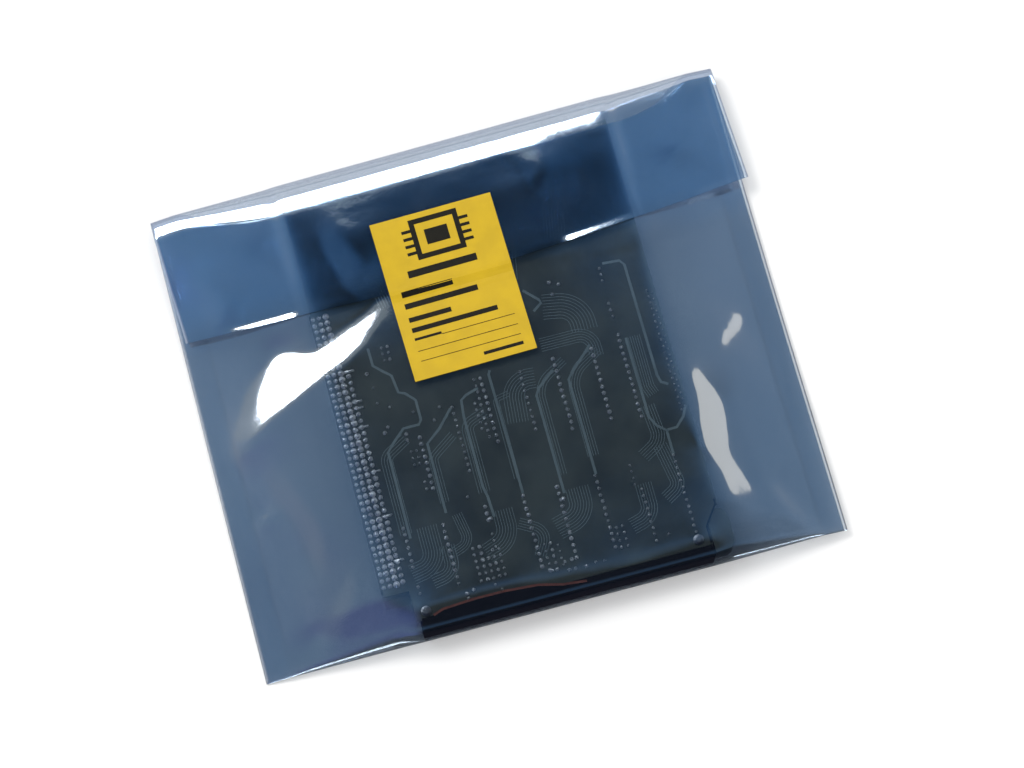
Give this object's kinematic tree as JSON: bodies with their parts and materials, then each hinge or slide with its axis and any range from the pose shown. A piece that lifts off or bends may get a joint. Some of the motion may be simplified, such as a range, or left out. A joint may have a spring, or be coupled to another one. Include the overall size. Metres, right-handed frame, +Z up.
{
  "type": "static shielding bag with a circuit board in it",
  "caption": "Flat metallised film bag, folded at the bottom, sealed along both sides and folded over at the mouth, with a circuit board inside and a plain yellow sticker.",
  "frame": {"origin": "on the table plane, under the middle of the folded bag", "axes": "+Z up from the table, +Y from the bag's bottom fold to its top fold, +X across the side seals, label facing up"},
  "size_m": [0.2258, 0.1889, 0.0159],
  "materials": {
    "shielding_film": "see-through metallised film, blue grey, glossy, creased",
    "label": "yellow coated paper sticker with plain black print shapes",
    "board": "dark green grey solder mask with tracks and solder joints",
    "connector": "black moulded housing",
    "front_bar": "black, slightly glossy",
    "lever": "dark moulded plastic",
    "screw": "bright plated steel",
    "chip": "black epoxy package with tinned leads",
    "capacitor": "dipped, brown orange"
  },
  "bodies": {
    "root": {"bag_film": "shielding_film", "label": "label", "circuit_board": "board", "pin_connector": "connector", "front_bar": "front_bar", "corner_lever": "lever", "screw_left": "screw", "screw_right": "screw", "chip_1": "chip", "chip_2": "chip", "chip_3": "chip", "chip_4": "chip", "chip_5": "chip", "chip_6": "chip", "chip_7": "chip", "chip_8": "chip", "capacitor_1": "capacitor", "capacitor_2": "capacitor", "capacitor_3": "capacitor", "capacitor_4": "capacitor"}
  },
  "joints": []
}
